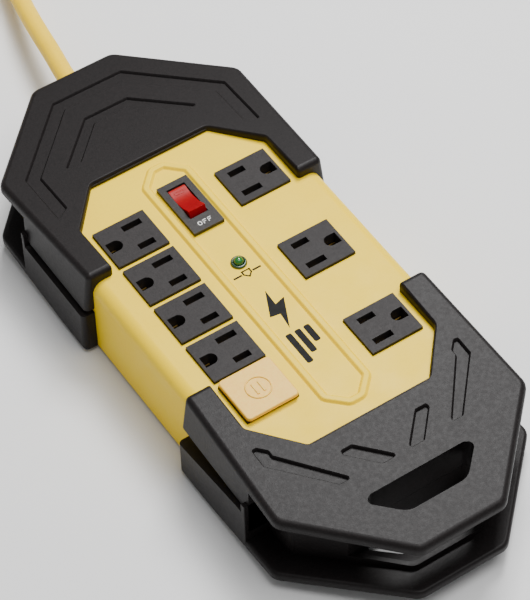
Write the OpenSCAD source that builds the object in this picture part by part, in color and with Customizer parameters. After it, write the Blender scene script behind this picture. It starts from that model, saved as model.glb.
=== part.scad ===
// Industrial safety surge strip: steel housing between two ABS end caps with a hand-hold,
// eight grounded outlets, a lighted rocker breaker, a lamp and a coiled supply cord.
// Lengths are in millimetres. +Z is up, +Y is the cord end, the origin is on the floor
// under the middle of the strip.

/* [Housing] */
// Half of the steel housing's width
house_half_w = 59.5; // [59:0.5:60]
// Half of the steel housing's length
house_half_l = 88; // [87:0.5:88]
// Height of the top sheet above the floor
sheet_z = 44.5; // [44:0.5:45]
// Thickness of the housing's sheet steel
steel = 1.5; // [1.2:0.1:1.6]
// Radius of the housing's long top edges
edge_r = 6; // [4:0.5:7]

/* [End caps] */
// Half of the upper shell's width
cap_half_w = 64; // [63.5:0.5:65]
// Distance from the middle to the upper shell's nose
cap_nose = 154.5; // [153:0.5:156]
// Distance from the middle to the ends of the arms
arm_end = 38.6; // [38:0.1:40]
// Height of the upper shell at the arm ends
cap_top = 50.5; // [50:0.5:51]
// Height of the upper shell at the nose
cap_nose_top = 43.5; // [43:0.5:44]
// How far the lower shell stands out past the upper one
lower_out = 2; // [1:0.5:2.5]
// Depth of the cord channel round the nose
channel_depth = 10; // [9:0.5:11]

/* [Outlets] */
// Distance from one close outlet to the next
pitch = 25.4; // [25.4:0.1:25.6]
// Distance of each outlet column from the middle
column_x = 32; // [31.5:0.1:32.5]
// Width of an outlet face
face_w = 26; // [25:0.5:26]
// Length of an outlet face along the column
face_l = 22.6; // [22:0.1:23]
// How far the outlet faces stand above the sheet
face_proud = 1.5; // [1:0.1:2]

/* [Switch and lamp] */
// Distance of the rocker's pivot from the middle of the strip
rocker_y = 54.8; // [54:0.2:55]
// Tilt of the rocker to either side of level, in degrees
rocker_tilt = 10; // [8:1:10]
// Distance of the lamp from the middle of the strip
lamp_y = 13.2; // [12:0.2:14]

/* [Cord] */
// Diameter of the supply cord
cord_d = 9.2; // [9:0.1:9.4]
// Radius of the coil at the middle of its turns
coil_r = 53; // [50:1:55]

/* [Hidden] */
$fn = 48;
gap = 0.2;
tall = 60;
arc_steps = 5;

// Sheet, cap and base levels
under_sheet = sheet_z - steel;
face_z = sheet_z + face_proud;
base_z = 2;
shelf_z = 4.1;
shelf_end = 78;
arm_base_z = 1.5;
rise_from = 60;
nose_rise = 7.5;
split_z = 28.4;
split_gap = 0.1;
lower_nose = cap_nose + lower_out;
top_fall = (cap_top - cap_nose_top) / (cap_nose - arm_end);

// Raised bead pressed into the sheet
bead_y = 1.5;
bead_h = 0.8;
bead_outer = [13, 80.5, 9];
bead_inner = [8.9, 75, 5.6];

// Cap walls
nose_start = house_half_l + gap;
plate_t = 3;
skirt_h = 4.7;
skirt_t = 2.2;
flange_t = 5.5;
wall = 2.5;
channel_start = nose_start + wall;
corner_x = 42.6;
corner_y = 43.4;
notch_x = 48.6;
notch_side_y = 65.5;
notch_front_x = 30.5;
notch_front_y = 86.6;
slit_top = 28.5;
slit_low = 26;
wedge_end_top = 32;
wedge_end_low = 21.5;
wedge_in_top = 29.2;
wedge_in_low = 28.3;
slit_y = 85;

// Hand-hold through the near cap: past grip_start only a grip bar is left, from grip_z up
hold_far = 121;
hold_near = 136.4;
hold_corner_y = 123.4;
hold_half_w = 28;
hold_back_x = 23.5;
hold_front_x = 15;
hold_wall = 2;
grip_start = 124.5;
grip_z = 34;
lip_z = 16;
lip_t = 2;

// Recessed marks on the caps
band_cut = 1;
slot_cut = 1.6;

// Outlet slots
blade_x = 4.3;
blade_dy = 6.35;
ground_dx = 11.9;
neutral_w = 9.6;
hot_w = 8.2;
slot_t = 3.2;
ground_r = 3;
ground_back = 4;
block_base_z = 24;
lip_out = 1.2;
left_ys = [2 * pitch, pitch, 0, -pitch, -2 * pitch];
right_ys = [2 * pitch, 0, -2 * pitch];

// Contact bars
bar_z = 20;
bar_t = 1;
leaf_t = 0.5;
leaf_in = 0.85;
leaf_top = 40;

// Surge board's underside, on the base plate's posts
board_z = base_z + 24;

// Breaker
bezel_w = 15.6;
bezel_l = 31.6;
bezel_y = 52.3;
bezel_top = sheet_z + 2;
breaker_base = 18;
rocker_w = 8.6;
rocker_r = 9.6;
pivot_z = sheet_z - 0.9;
pivot_r = 1.5;
well_w = rocker_w + 0.8;
well_l = 2 * rocker_r + 0.8;
well_floor = 33.8;

// Cord: leaves the far cap's nose, drops to the floor and runs to the coil
cord_r = cord_d / 2;
exit_x = 4;
exit_z = 23;
relief_end = 156.4;
cord_route = [
    [4, 156.4, 23], [4.4, 166, 22.9], [5.5, 175, 22.5], [8.1, 189, 21], [12.1, 212.5, 18],
    [17.2, 235.3, 14], [23, 258, 10], [29, 280, 7.2], [34.8, 303, 6], [40.3, 326, 5.8],
    [45.4, 347, 5.8], [50.1, 365.4, 5.8]
];

// The coil: ten turns in four layers, then the free end curves round to the plug
coil_x = -12.5;
coil_y = 381;
coil_z = 1.2;
coil_layers = 4;
coil_half = 2.51 * cord_d / 2 + cord_r;
tail_route = [
    [52, 381, 33.4], [51.6, 394.6, 33.3], [49.6, 408.7, 32.6], [45.7, 423.3, 29.4],
    [39, 438.2, 25], [28.5, 452, 20.8], [14.1, 462.8, 17], [0, 468.6, 14.4],
    [-9.4, 470.6, 13.5], [-16, 471, 13.4]
];
plug_at = [-16, 471, 13.4];
plug_neck = 24;
plug_l = 56;
plug_w = 26.4;
blade_reach = 17.5;
pin_rise = 8.2;

// Fasteners and feet
cap_screw_xy = [[42, 98], [14, 108], [-14, 108], [-42, 98]];
base_screw_xy = [[52, 71], [52, 0], [52, -71], [-52, 71], [-52, 0], [-52, -71]];
foot_xy = [[43, 64], [43, -64], [-43, 64], [-43, -64]];

// ---- helpers ----

function unit(v) = v / norm(v);

// Points of an arc that rounds corner b between a and c with radius r
function fillet(a, b, c, r) =
    let (
        u = unit(a - b),
        v = unit(c - b),
        half = acos(u * v) / 2,
        start = b + u * r / tan(half),
        middle = b + unit(u + v) * r / sin(half),
        end = b + v * r / tan(half),
        from = start - middle,
        to = end - middle,
        turn = (from.x * to.y - from.y * to.x) > 0 ? 1 : -1
    )
    [
        for (i = [0 : arc_steps])
            let (t = turn * i * (180 - 2 * half) / arc_steps)
            middle + [from.x * cos(t) - from.y * sin(t), from.x * sin(t) + from.y * cos(t)]
    ];

// A closed outline with each corner rounded by its own radius
function rounded(pts, radii) =
    let (n = len(pts))
    [
        for (i = [0 : n - 1])
            each fillet(pts[(i + n - 1) % n], pts[i], pts[(i + 1) % n], radii[i])
    ];

function same(value, n) = [for (i = [1 : n]) value];

// Outline points on the +X side, completed by their mirror image
function both_sides(pts) = concat(pts, [for (i = [len(pts) - 1 : -1 : 0]) [-pts[i].x, pts[i].y]]);

// One ring of a tube of radius r round point p, across direction d
function ring(p, d, r, sides) =
    let (
        side = unit(cross(d, [0, 0, 1])),
        up = cross(side, d)
    )
    [for (i = [0 : sides - 1]) p + r * (cos(i * 360 / sides) * side + sin(i * 360 / sides) * up)];

function heading(path, i) =
    unit(path[min(i + 1, len(path) - 1)] - path[max(i - 1, 0)]);

// A round tube swept along a path of points
module tube(path, r, sides) {
    n = len(path);
    points = [for (i = [0 : n - 1]) each ring(path[i], heading(path, i), r, sides)];
    sides_faces = [
        for (i = [0 : n - 2], j = [0 : sides - 1])
            [
                i * sides + j, i * sides + (j + 1) % sides,
                (i + 1) * sides + (j + 1) % sides, (i + 1) * sides + j
            ]
    ];
    first = [for (j = [sides - 1 : -1 : 0]) j];
    last = [for (j = [0 : sides - 1]) (n - 1) * sides + j];
    polyhedron(points, concat([first], sides_faces, [last]), convexity = 4);
}

// A solid whose outline is given in the Y-Z plane, centred across X
module side_profile(pts, width) {
    rotate([90, 0, 90])
        translate([0, 0, -width / 2])
            linear_extrude(width)
                polygon(pts);
}

// A solid whose outline is given in the X-Z plane, centred along Y
module end_profile(pts, length) {
    rotate([90, 0, 0])
        translate([0, 0, -length / 2])
            linear_extrude(length)
                polygon(pts);
}

module box_at(x0, x1, y0, y1, z0, z1) {
    translate([x0, y0, z0])
        cube([x1 - x0, y1 - y0, z1 - z0]);
}

// ---- housing ----

function house_outline(half, low, high, r) =
    rounded([[half, low], [half, high], [-half, high], [-half, low]], [0.4, r, r, 0.4]);

module house_prism(grow, low) {
    end_profile(
        house_outline(house_half_w + grow, low, sheet_z + grow, edge_r + grow),
        2 * (house_half_l + grow)
    );
}

// Long octagon of half-width size[0] and half-length size[1] with corners cut by size[2]
function bead_outline(size) =
    let (w = size[0], l = size[1], cut = size[2])
    rounded(
        [
            [w, cut - l], [w, l - cut], [w - cut, l], [cut - w, l],
            [-w, l - cut], [-w, cut - l], [cut - w, -l], [w - cut, -l]
        ],
        same(2.5, 8)
    );

module outlet_hole() {
    translate([-face_w / 2 - gap, -face_l / 2 - gap, 30])
        cube([face_w + 2 * gap, face_l + 2 * gap, tall]);
}

module top_cover() {
    color("#f3d84e") {
        difference() {
            union() {
                house_prism(0, base_z);
                linear_extrude(sheet_z + bead_h)
                    translate([0, bead_y])
                        difference() {
                            polygon(bead_outline(bead_outer));
                            polygon(bead_outline(bead_inner));
                        }
            }
            end_profile(
                house_outline(house_half_w - steel, -1, under_sheet, edge_r - steel),
                2 * (house_half_l - steel)
            );
            for (s = [-1, 1]) {
                box_at(
                    -house_half_w - 1, house_half_w + 1, min(s * shelf_end, s * 90),
                    max(s * shelf_end, s * 90), 0, shelf_z + gap
                );
            }
            for (y = left_ys) {
                translate([-column_x, y, 0]) outlet_hole();
            }
            for (y = right_ys) {
                translate([column_x, y, 0]) outlet_hole();
            }
            box_at(
                -bezel_w / 2 + 0.9, bezel_w / 2 - 0.9, bezel_y - bezel_l / 2 + 1.5,
                bezel_y + bezel_l / 2 - 1.5, 30, tall
            );
            translate([0, lamp_y, 30]) cylinder(h = tall, r = 2.9);
            translate([exit_x, house_half_l - 5, exit_z])
                rotate([-90, 0, 0]) cylinder(h = 10, r = 6);
        }
        for (p = base_screw_xy) {
            translate([p.x, p.y, base_z + steel])
                difference() {
                    cylinder(h = under_sheet - base_z - steel, r = 4);
                    translate([0, 0, -1]) cylinder(h = 14, r = 1.55);
                }
        }
    }
}

module base_plate() {
    half_w = house_half_w - steel - gap;
    color("#e6ca45")
        difference() {
            union() {
                box_at(-half_w, half_w, -shelf_end + gap, shelf_end - gap, base_z, base_z + steel);
                for (x = [-11, 11], y = [-55, 27]) {
                    translate([x, y, base_z]) cylinder(h = 24, r = 2.5);
                }
            }
            for (p = base_screw_xy) {
                translate([p.x, p.y, 0]) cylinder(h = 10, r = 1.7);
            }
            for (p = foot_xy) {
                translate([p.x, p.y, 0]) cylinder(h = 10, r = 2);
            }
            translate([40, 30, 0]) cylinder(h = 10, r = 1.6);
        }
}

// ---- end caps, drawn at the cord end ----

function upper_outline() =
    rounded(
        both_sides([
            [notch_front_x, notch_front_y], [notch_x, notch_side_y], [notch_x, arm_end],
            [cap_half_w, arm_end], [cap_half_w, cap_nose - corner_y],
            [cap_half_w - corner_x, cap_nose]
        ]),
        [3, 3, 1.5, 2.5, 7, 7, 7, 7, 2.5, 1.5, 3, 3]
    );

function lower_outline() =
    let (k = lower_out * tan(22.5))
    rounded(
        both_sides([
            [cap_half_w + lower_out, arm_end], [cap_half_w + lower_out, cap_nose - corner_y + k],
            [cap_half_w - corner_x + k, lower_nose]
        ]),
        [2.5, 7, 7, 7, 7, 2.5]
    );

function nose_octagon(inset) =
    let (k = inset * tan(22.5))
    rounded(
        both_sides([
            [cap_half_w - inset, 60], [cap_half_w - inset, cap_nose - corner_y - k],
            [cap_half_w - corner_x - k, cap_nose - inset]
        ]),
        [1, 6, 6, 6, 6, 1]
    );

// Height of the cap's sloping top at distance y from the middle
function top_at(y) = cap_top - (y - arm_end) * top_fall;

// Height of the lower shell's underside, which rises towards the nose
function base_at(y) =
    y < rise_from ? arm_base_z : arm_base_z + nose_rise * (y - rise_from) / (lower_nose - rise_from);

// Everything from y0 outwards that is lower than the sloping top less drop
module below_top(drop, y0) {
    side_profile([[y0, -1], [180, -1], [180, top_at(180) - drop], [y0, top_at(y0) - drop]], 150);
}

// Everything from y0 outwards that is higher than the rising underside plus lift
module above_base(lift, y0) {
    bend_y = max(rise_from, y0);
    side_profile(
        [
            [180, tall], [y0, tall], [y0, base_at(y0) + lift], [bend_y, base_at(bend_y) + lift],
            [180, base_at(180) + lift]
        ],
        150
    );
}

module recess(drop, y0) {
    difference() {
        linear_extrude(tall) children();
        below_top(drop, y0);
    }
}

// Plan of the cord channel under the plate, behind the skirt
module channel_plan() {
    difference() {
        intersection() {
            polygon(nose_octagon(skirt_t));
            translate([-80, channel_start]) square([160, 90]);
        }
        polygon(nose_octagon(channel_depth));
    }
}

// Plan of everything outside the core, past the wall that closes the housing's end
module outside_core() {
    difference() {
        translate([-80, channel_start]) square([160, 90]);
        polygon(nose_octagon(channel_depth));
    }
}

module core_hollow() {
    intersection() {
        polygon(nose_octagon(channel_depth + wall));
        translate([-80, channel_start]) square([160, 90]);
    }
}

module screw_posts() {
    for (p = cap_screw_xy) {
        translate([p.x, p.y, 0]) cylinder(h = tall, r = 4);
    }
}

module lead_hole() {
    translate([exit_x, nose_start - 1, exit_z]) rotate([-90, 0, 0]) cylinder(h = wall + 2, r = 6);
}

module relief_hole() {
    translate([exit_x, cap_nose - channel_depth - wall - 6, exit_z])
        rotate([-90, 0, 0]) cylinder(h = wall + 7, r = 6.7);
}

// Upper shell whose arms end end_z above the floor and meet the nose at inner_z
module upper_shell(end_z, inner_z) {
    difference() {
        intersection() {
            linear_extrude(tall) polygon(upper_outline());
            below_top(0, arm_end - 1);
        }
        side_profile(
            [
                [arm_end - 1, -1], [arm_end - 1, end_z], [slit_y, inner_z], [nose_start, inner_z],
                [nose_start, -1]
            ],
            150
        );
        house_prism(gap, -5);
        intersection() {
            linear_extrude(tall) outside_core();
            below_top(skirt_h, nose_start);
        }
        intersection() {
            linear_extrude(tall) channel_plan();
            below_top(plate_t, nose_start);
        }
        difference() {
            intersection() {
                linear_extrude(tall) core_hollow();
                below_top(plate_t, nose_start);
            }
            screw_posts();
        }
        box_at(-80, 80, nose_start - 0.1, 180, -1, split_z + split_gap);
        for (p = cap_screw_xy) {
            translate([p.x, p.y, 0]) cylinder(h = 41, r = 1.55);
        }
    }
}

// Lower shell whose arms reach up to end_z and meet the nose at inner_z
module lower_shell(end_z, inner_z) {
    difference() {
        intersection() {
            linear_extrude(tall) polygon(lower_outline());
            above_base(0, arm_end - 1);
        }
        side_profile(
            [
                [arm_end - 1, tall], [arm_end - 1, end_z], [slit_y, inner_z], [nose_start, inner_z],
                [nose_start, tall]
            ],
            150
        );
        house_prism(gap, shelf_z);
        box_at(-house_half_w - gap, house_half_w + gap, 0, shelf_end + gap, -1, tall);
        intersection() {
            linear_extrude(tall) outside_core();
            above_base(flange_t, nose_start);
        }
        difference() {
            intersection() {
                linear_extrude(tall) core_hollow();
                above_base(plate_t, nose_start);
            }
            screw_posts();
        }
        box_at(-80, 80, nose_start - 0.1, 180, split_z, tall);
        for (p = cap_screw_xy) {
            translate([p.x, p.y, -1]) cylinder(h = 40, r = 1.8);
            translate([p.x, p.y, -1]) cylinder(h = base_at(p.y) + 3.5, r = 3.6);
        }
    }
}

// Bands that follow the far cap's outline
module band(side_out, front, corner, start_y, width) {
    k = width * tan(22.5);
    polygon([
        [side_out, start_y], [side_out, front - corner], [side_out - corner, front],
        [corner - side_out, front], [-side_out, front - corner], [-side_out, start_y],
        [width - side_out, start_y + 4], [width - side_out, front - corner - k],
        [corner - side_out + k, front - width], [side_out - corner - k, front - width],
        [side_out - width, front - corner - k], [side_out - width, start_y + 4]
    ]);
}

module inner_band() {
    for (s = [-1, 1]) {
        polygon([
            [s * 35, 101], [s * 11.3, 124], [0, 124], [0, 118.8], [s * 9, 118.8], [s * 27, 101]
        ]);
    }
}

module far_cap_upper() {
    color("#2a2829")
        difference() {
            upper_shell(slit_top, slit_top);
            recess(band_cut, 60) band(53.2, 140.8, 35, 76.5, 6.4);
            recess(band_cut, 60) inner_band();
            lead_hole();
            relief_hole();
        }
}

module far_cap_lower() {
    color("#1d1c1d")
        difference() {
            lower_shell(slit_low, slit_low);
            lead_hole();
            relief_hole();
        }
}

// ---- near cap: the same shells turned round, with a hand-hold ----

function hold_outline(grow) =
    rounded(
        both_sides([
            [hold_back_x + grow * 0.6, hold_far - grow], [hold_half_w + grow, hold_corner_y],
            [hold_front_x + grow * 0.6, hold_near + grow]
        ]),
        [2, 2.5, 9, 9, 2.5, 2]
    );

// Plan of the wall round the hand-hold and of the solid nose in front of the core
module hold_plan() {
    polygon(hold_outline(hold_wall));
    intersection() {
        polygon(nose_octagon(channel_depth));
        translate([-60, grip_start - wall]) square([120, 40]);
    }
}

// Plan of the low lip on the lower shell, along the channel in front of the core
module lip_plan() {
    difference() {
        polygon(nose_octagon(channel_depth));
        polygon(nose_octagon(channel_depth + lip_t));
    }
}

module hold_hole() {
    translate([0, 0, -1]) linear_extrude(tall + 2) polygon(hold_outline(0));
}

module corner_slot(s) {
    polygon([
        [s * 52.6, 76.8], [s * 52.6, 86], [s * 31.2, 110.2], [s * 25.2, 110.2],
        [s * 46.8, 83.6], [s * 46.8, 80.6], [s * 50.4, 76.8]
    ]);
}

module middle_slot(s) {
    polygon([
        [s * 21.8, 97], [s * 16.2, 97], [s * 4, 110], [s * 4, 111.4], [s * 10.6, 111.4],
        [s * 21.8, 99]
    ]);
}

module near_cap_upper() {
    color("#2a2829")
        rotate([0, 0, 180])
            difference() {
                union() {
                    upper_shell(wedge_end_top, wedge_in_top);
                    intersection() {
                        linear_extrude(tall) hold_plan();
                        below_top(plate_t / 2, nose_start);
                        box_at(-80, 80, 90, 150, split_z + split_gap, tall);
                    }
                }
                hold_hole();
                box_at(-80, 80, grip_start, 160, 0, grip_z);
                for (s = [-1, 1]) {
                    recess(slot_cut, 60) corner_slot(s);
                    recess(slot_cut, 60) middle_slot(s);
                }
            }
}

module near_cap_lower() {
    color("#1d1c1d")
        rotate([0, 0, 180])
            difference() {
                union() {
                    lower_shell(wedge_end_low, wedge_in_low);
                    intersection() {
                        linear_extrude(split_z) hold_plan();
                        above_base(plate_t / 2, nose_start);
                    }
                }
                hold_hole();
                difference() {
                    intersection() {
                        box_at(-80, 80, grip_start, 160, 0, tall);
                        above_base(flange_t, nose_start);
                    }
                    linear_extrude(lip_z) lip_plan();
                }
            }
}

// ---- outlets ----

// A grounded outlet with its ground hole towards -X and its long slot towards +Y
module outlet() {
    color("#4a4747")
        difference() {
            union() {
                box_at(-face_w / 2, face_w / 2, -face_l / 2, face_l / 2, block_base_z, face_z);
                box_at(
                    -face_w / 2 - lip_out, face_w / 2 + lip_out, -face_l / 2 - lip_out,
                    face_l / 2 + lip_out, under_sheet - 2.5, under_sheet - gap
                );
            }
            translate([blade_x, blade_dy, 35]) cube([neutral_w, slot_t, tall], center = true);
            translate([blade_x, -blade_dy, 35]) cube([hot_w, slot_t, tall], center = true);
            translate([blade_x - ground_dx, 0, block_base_z - 1]) {
                cylinder(h = tall, r = ground_r);
                translate([-ground_back, -ground_r, 0]) cube([ground_back, 2 * ground_r, tall]);
            }
        }
}

module outlet_left(i) {
    translate([-column_x, left_ys[i], 0]) outlet();
}

module outlet_right(i) {
    translate([column_x, right_ys[i], 0]) rotate([0, 0, 180]) outlet();
}

module safety_cover() {
    plate_z = face_z + 0.1;
    prong_z = 33;
    color("#f3e3a8")
        translate([-column_x, left_ys[4], 0]) {
            translate([0, 0, plate_z])
                linear_extrude(1.8)
                    polygon(rounded([[13, 12.2], [-13, 12.2], [-13, -12.2], [13, -12.2]], same(2, 4)));
            translate([0, 0, plate_z + 1.7]) {
                difference() {
                    cylinder(h = 0.5, r = 6);
                    translate([0, 0, -1]) cylinder(h = 2, r = 5);
                }
            }
            for (s = [-1, 1]) {
                box_at(
                    blade_x - 2.6, blade_x + 2.6, s * blade_dy - 0.5, s * blade_dy + 0.5,
                    prong_z, plate_z + 0.1
                );
            }
            translate([blade_x - ground_dx, 0, prong_z]) cylinder(h = plate_z + 0.1 - prong_z, r = 1.6);
        }
}

// ---- contact bars for one column ----

module clip(x, y, half, in) {
    for (s = [-1, 1]) {
        box_at(
            x - half, x + half, y + s * (in + leaf_t / 2) - leaf_t / 2,
            y + s * (in + leaf_t / 2) + leaf_t / 2, bar_z, leaf_top
        );
    }
    box_at(x - half, x + half, y - in - leaf_t, y + in + leaf_t, bar_z, bar_z + bar_t);
}

module contact_bar(ys, x0, x1, clip_x, dy, half, in) {
    color("#c9a24a") {
        box_at(x0, x1, min(ys) - 10, max(ys) + 10, bar_z, bar_z + bar_t);
        for (y = ys) {
            clip(clip_x, y + dy, half, in);
            box_at(min(x0, clip_x), max(x1, clip_x), y + dy - 1, y + dy + 1, bar_z, bar_z + bar_t);
        }
    }
}

module line_bar(ys) {
    contact_bar(ys, -24.2, -20.5, blade_x - column_x, -blade_dy, 3, leaf_in);
}

module neutral_bar(ys) {
    contact_bar(ys, -36, -32.5, blade_x - column_x, blade_dy, 3, leaf_in);
}

module ground_bar(ys) {
    contact_bar(ys, -43.5, -41, blade_x - ground_dx - column_x - 1.5, 0, 2.2, 1.95);
}

function turned(ys) = [for (y = ys) -y];

// ---- breaker, rocker and lamp ----

module breaker_housing() {
    color("#26282a")
        difference() {
            union() {
                box_at(
                    -bezel_w / 2, bezel_w / 2, bezel_y - bezel_l / 2, bezel_y + bezel_l / 2,
                    sheet_z + 0.05, bezel_top
                );
                box_at(
                    -bezel_w / 2 + 1.1, bezel_w / 2 - 1.1, bezel_y - bezel_l / 2 + 1.8,
                    bezel_y + bezel_l / 2 - 1.8, breaker_base, bezel_top
                );
            }
            box_at(
                -well_w / 2, well_w / 2, rocker_y - well_l / 2, rocker_y + well_l / 2,
                well_floor, tall
            );
            translate([-6, rocker_y, pivot_z]) rotate([0, 90, 0]) cylinder(h = 12, r = pivot_r + 0.05);
        }
}

// Rocker outline round its pivot, level: ends lie on a circle about the pivot
function rocker_outline() =
    concat(
        [for (a = [25 : -9 : -20]) rocker_r * [cos(a), sin(a)]],
        [[3, -5.6], [-3, -5.6]],
        [for (a = [-20 : 9 : 25]) rocker_r * [-cos(a), sin(a)]],
        [[0, 2.3]]
    );

module switch_rocker() {
    color("#d0122b")
        translate([0, rocker_y, pivot_z])
            rotate([-rocker_tilt, 0, 0]) {
                side_profile(rocker_outline(), rocker_w);
                rotate([0, 90, 0]) cylinder(h = 11.4, r = pivot_r, center = true);
            }
}

module rocker_lamp() {
    color("#ff9c6a")
        translate([-3, rocker_y, well_floor + 1.3]) rotate([0, 90, 0]) cylinder(h = 6, r = 1.2);
}

module breaker_terminals() {
    color("#cfc8b4")
        for (y = [-9, 0, 9]) {
            box_at(-3.1, 3.1, bezel_y + y - 0.4, bezel_y + y + 0.4, 10, breaker_base);
        }
}

module lamp_ring() {
    color("#1d3524")
        translate([0, lamp_y, 0])
            difference() {
                union() {
                    translate([0, 0, sheet_z + 0.05]) cylinder(h = 1.2, r1 = 3.6, r2 = 3);
                    translate([0, 0, 40]) cylinder(h = sheet_z - 39, r = 2.7);
                }
                translate([0, 0, 39]) cylinder(h = 10, r = 2.35);
            }
}

module lamp_dome() {
    color("#2fae4e")
        translate([0, lamp_y, 0]) {
            translate([0, 0, 40]) cylinder(h = sheet_z + 1 - 40, r = 2.25);
            translate([0, 0, sheet_z + 1]) sphere(r = 2.25);
        }
}

// ---- surge circuit ----

module surge_board() {
    color("#2d6b3c")
        difference() {
            box_at(-14, 14, -62, 34, board_z, board_z + 1.6);
            for (x = [-11, 11], y = [-55, 27]) {
                translate([x, y, 0]) cylinder(h = tall, r = 1);
            }
        }
}

module varistors() {
    color("#2f63b5")
        for (y = [-46, -34, -22]) {
            translate([-2, y, board_z + 9.7]) rotate([-90, 0, 0]) cylinder(h = 4.4, r = 7);
            box_at(-6, -5, y + 1.8, y + 2.6, board_z + 1.6, board_z + 6);
            box_at(1, 2, y + 1.8, y + 2.6, board_z + 1.6, board_z + 6);
        }
}

module thermal_fuse() {
    color("#d8d2c4") {
        translate([9, -44, board_z + 3.6]) rotate([-90, 0, 0]) cylinder(h = 16, r = 2);
        box_at(8.6, 9.4, -43, -42.2, board_z + 1.6, board_z + 3.6);
        box_at(8.6, 9.4, -29.8, -29, board_z + 1.6, board_z + 3.6);
    }
}

module filter_coil() {
    color("#b5672c")
        translate([0, -5, board_z + 5])
            rotate_extrude()
                translate([6.5, 0]) circle(r = 3.3);
}

module filter_capacitor() {
    color("#d9a62e") box_at(-9, 9, 19.5, 27.5, board_z + 1.7, board_z + 13);
}

// ---- inner leads ----

module lead(path) {
    tube(path, 1.5, 8);
}

module line_lead() {
    color("#1b1b1b")
        lead([
            [6.2, 139.2, 23], [6.2, 120, 22], [6.2, 100, 22], [5.6, 88, 22], [3, 76, 16],
            [1, 68, 13.5], [0, 62.2, 13]
        ]);
}

module neutral_lead() {
    color("#efefef")
        lead([
            [1.9, 139.2, 23], [1.9, 120, 22], [1.9, 100, 22], [1.9, 88, 22], [-7, 76, 18],
            [-22, 68, 18], [-32, 64.5, 18.2], [-34, 62, 18.4]
        ]);
}

module ground_lead() {
    color("#2c8a3d")
        lead([
            [4, 139.2, 26.6], [4, 120, 26], [4, 100, 26], [5, 88, 25.6], [16, 76, 18],
            [30, 60, 9], [38, 40, 6], [40, 34.5, 5.4]
        ]);
}

module ground_screw() {
    color("#3fae55")
        translate([40, 30, 0]) {
            translate([0, 0, base_z + steel + 0.05]) cylinder(h = 3.2, r = 3.8);
            translate([0, 0, base_z - 0.4]) cylinder(h = 3, r = 1.5);
        }
}

// ---- fasteners and feet ----

module base_screws() {
    color("#9a9a98")
        for (p = base_screw_xy) {
            translate([p.x, p.y, base_z - 1.4]) cylinder(h = 1.35, r = 3.2);
            translate([p.x, p.y, base_z - 0.1]) cylinder(h = 12, r = 1.5);
        }
}

module cap_screws() {
    color("#9a9a98")
        for (s = [-1, 1], p = cap_screw_xy) {
            head_z = base_at(p.y) + 0.6;
            translate([p.x, s * p.y, head_z]) cylinder(h = 1.8, r = 3.2);
            translate([p.x, s * p.y, head_z]) cylinder(h = 32, r = 1.5);
        }
}

module rubber_feet() {
    color("#303030")
        for (p = foot_xy) {
            translate([p.x, p.y, 0]) cylinder(h = base_z - 0.02, r1 = 6, r2 = 6.6);
            translate([p.x, p.y, 0]) cylinder(h = base_z + 3.5, r = 1.9);
        }
}

// ---- supply cord ----

module strain_relief() {
    neck = cap_nose - channel_depth;
    color("#d9bb3c")
        translate([exit_x, 0, exit_z])
            rotate([-90, 0, 0]) {
                translate([0, 0, neck - wall - 2.6]) cylinder(h = 2.4, r = 8);
                translate([0, 0, neck - wall - 1]) cylinder(h = wall + 1.4, r = 6.5);
                translate([0, 0, neck + 0.3]) cylinder(h = 2, r = 7.6);
                translate([0, 0, neck + 1]) cylinder(h = relief_end - neck - 1, r1 = 7, r2 = 5.2);
            }
}

module cord() {
    color("#f0cf4a") tube(cord_route, cord_r, 10);
}

module cord_tail() {
    color("#f0cf4a") tube(tail_route, cord_r, 10);
}

module cord_coil() {
    color("#f0cf4a")
        translate([coil_x, coil_y, coil_z])
            rotate_extrude($fn = 96)
                translate([coil_r - coil_half, 0]) square([2 * coil_half, coil_layers * cord_d]);
}

module cord_tie() {
    height = coil_layers * cord_d;
    color("#2b2b2b")
        translate([coil_x, coil_y, coil_z])
            rotate([0, 0, 200])
                translate([coil_r, 0, 0])
                    difference() {
                        box_at(-coil_half - 1, coil_half + 1, -4, 4, -1, height + 1);
                        box_at(-coil_half - 0.3, coil_half + 0.3, -5, 5, -0.15, height + 0.15);
                    }
}

// Places a plug drawn along -Y from its neck so that it points along -X on the floor
module at_plug() {
    translate(plug_at) rotate([0, 0, -90]) children();
}

module plug_body() {
    color("#e9c846")
        at_plug()
            difference() {
                union() {
                    rotate([90, 0, 0]) cylinder(h = plug_neck + 0.1, r1 = 5.2, r2 = 8.4);
                    hull() {
                        translate([0, 4 - plug_neck, 0])
                            rotate([90, 0, 0]) cylinder(h = 2, r = 8.6, $fn = 32);
                        translate([-plug_w / 2, -plug_l, 0.4 - plug_at.z]) cube([plug_w, 18, 25]);
                    }
                }
                for (s = [-1, 1]) {
                    translate([s * blade_dy, 6 - plug_l, 0]) cube([2.2, 20, 7], center = true);
                }
                translate([0, 9 - plug_l, pin_rise]) rotate([90, 0, 0]) cylinder(h = 20, r = 2.5);
            }
}

module blade(x, width) {
    color("#c9b26b")
        at_plug()
            translate([x, 3.9 - plug_l - blade_reach / 2, 0])
                cube([1.5, blade_reach + 7.9, width], center = true);
}

module plug_line_blade() {
    blade(-blade_dy, 6.3);
}

module plug_neutral_blade() {
    blade(blade_dy, 6.7);
}

module plug_ground_pin() {
    color("#c9b26b")
        at_plug()
            translate([0, 8.9 - plug_l, pin_rise])
                rotate([90, 0, 0]) cylinder(h = blade_reach + 11.5, r = 2.38);
}

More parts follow.
